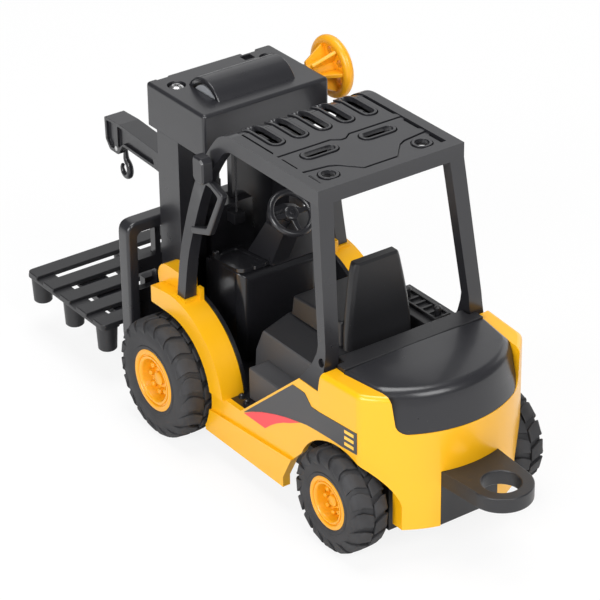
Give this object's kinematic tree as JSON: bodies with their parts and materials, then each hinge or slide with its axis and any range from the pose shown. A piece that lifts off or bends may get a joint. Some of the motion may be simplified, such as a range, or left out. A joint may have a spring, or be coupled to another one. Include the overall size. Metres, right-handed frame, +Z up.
{
  "type": "toy forklift",
  "caption": "Toy forklift truck with an open cab under an overhead guard, a hand-wound mast, load backrest with jib and hook, a slatted pallet and a tow eye.",
  "frame": {"origin": "on the floor, under the middle of the whole outline", "axes": "+X points forward to the forks, +Y to the vehicle's left, +Z up"},
  "size_m": [0.24, 0.0904, 0.1286],
  "materials": {
    "yellow_plastic": "glossy moulded amber-yellow plastic",
    "orange_plastic": "glossy orange-yellow plastic",
    "black_plastic": "satin black moulded plastic",
    "matte_black_plastic": "fine-grained matte black plastic",
    "nylon": "plain moulded nylon",
    "steel": "bright plated steel",
    "zinc": "cast zinc",
    "tyre": "soft black tread rubber",
    "rubber": "plain black rubber",
    "cord": "twisted black cord",
    "film": "printed film, dark grey with a red stripe"
  },
  "bodies": {
    "truck": {"body_shell": "yellow_plastic", "chassis_tray": "matte_black_plastic", "chassis_screws": "steel", "tow_hitch": "matte_black_plastic", "engine_hood": "black_plastic", "rear_deck": "matte_black_plastic", "side_film_left": "film", "side_film_right": "film", "cab_floor": "matte_black_plastic", "side_console": "matte_black_plastic", "dash_console": "matte_black_plastic", "dash_lid": "matte_black_plastic", "pedals": "matte_black_plastic", "steering_column": "black_plastic", "seat_base": "matte_black_plastic", "seat_cushion": "matte_black_plastic", "seat_back": "matte_black_plastic", "overhead_guard": "black_plastic", "work_lamp_left": "black_plastic", "work_lamp_right": "black_plastic", "grab_handle": "black_plastic", "mast_frame": "black_plastic", "mast_head": "black_plastic", "mast_screws": "steel", "mast_pins": "steel", "lifting_cord": "cord", "gearbox_case": "nylon", "idler_pin": "steel", "flywheel_pin": "steel"},
    "front_wheels": {"front_axle": "steel", "axle_gear": "zinc", "front_rim_left": "orange_plastic", "front_rim_right": "orange_plastic", "front_tyre_left": "tyre", "front_tyre_right": "tyre"},
    "rear_wheels": {"rear_axle": "steel", "rear_rim_left": "orange_plastic", "rear_rim_right": "orange_plastic", "rear_tyre_left": "tyre", "rear_tyre_right": "tyre"},
    "idler": {"idler_gear": "nylon"},
    "flywheel": {"flywheel": "zinc"},
    "steering_wheel": {"steering_wheel": "black_plastic"},
    "winch": {"winch_shaft": "steel", "winch_drum": "nylon", "cord_winding": "cord", "hand_wheel": "orange_plastic", "drag_washer": "rubber"},
    "carriage": {"carriage": "black_plastic", "load_backrest": "black_plastic", "fork_left": "black_plastic", "fork_right": "black_plastic", "jib_arm": "black_plastic", "hook_pin": "steel"},
    "hook": {"hook": "black_plastic"},
    "pallet": {"pallet": "matte_black_plastic"}
  },
  "joints": [
    {"name": "front_axle_spin", "type": "hinge", "parent": "truck", "child": "front_wheels", "pos_m": [0.02745, 0, 0.022], "axis": [0, 1, 0], "continuous": true},
    {"name": "rear_axle_spin", "type": "hinge", "parent": "truck", "child": "rear_wheels", "pos_m": [-0.06735, 0, 0.0184], "axis": [0, 1, 0], "continuous": true},
    {"name": "idler_spin", "type": "hinge", "parent": "truck", "child": "idler", "pos_m": [0.02155, 0, 0.03426], "axis": [0, 1, 0], "continuous": true},
    {"name": "flywheel_spin", "type": "hinge", "parent": "truck", "child": "flywheel", "pos_m": [0.02155, 0, 0.04446], "axis": [0, 1, 0], "continuous": true},
    {"name": "steering_spin", "type": "hinge", "parent": "truck", "child": "steering_wheel", "pos_m": [0.00205, 0.0025, 0.0853], "axis": [-0.682, 0, 0.7314], "continuous": true},
    {"name": "carriage_lift", "type": "slide", "parent": "truck", "child": "carriage", "axis": [0, 0, 1], "range_m": [-0.0115, 0.033], "deforming": ["lifting_cord"]},
    {"name": "winch_turn", "type": "hinge", "parent": "truck", "child": "winch", "pos_m": [0.03385, 0, 0.117], "axis": [0, -1, 0], "range_deg": [-137, 392]},
    {"name": "hook_swing", "type": "hinge", "parent": "carriage", "child": "hook", "pos_m": [0.11105, 0, 0.0675], "axis": [0, 1, 0], "range_deg": [-60, 60]},
    {"name": "pallet_lift_off", "type": "slide", "parent": "carriage", "child": "pallet", "axis": [0, 0, 1], "range_m": [0, 0.02]}
  ],
  "couplings": [
    {"joint": "idler_spin", "follows": "front_axle_spin", "ratio": -2.4},
    {"joint": "flywheel_spin", "follows": "front_axle_spin", "ratio": 5.76},
    {"joint": "winch_turn", "follows": "carriage_lift", "rad_per_m": 207.04}
  ]
}
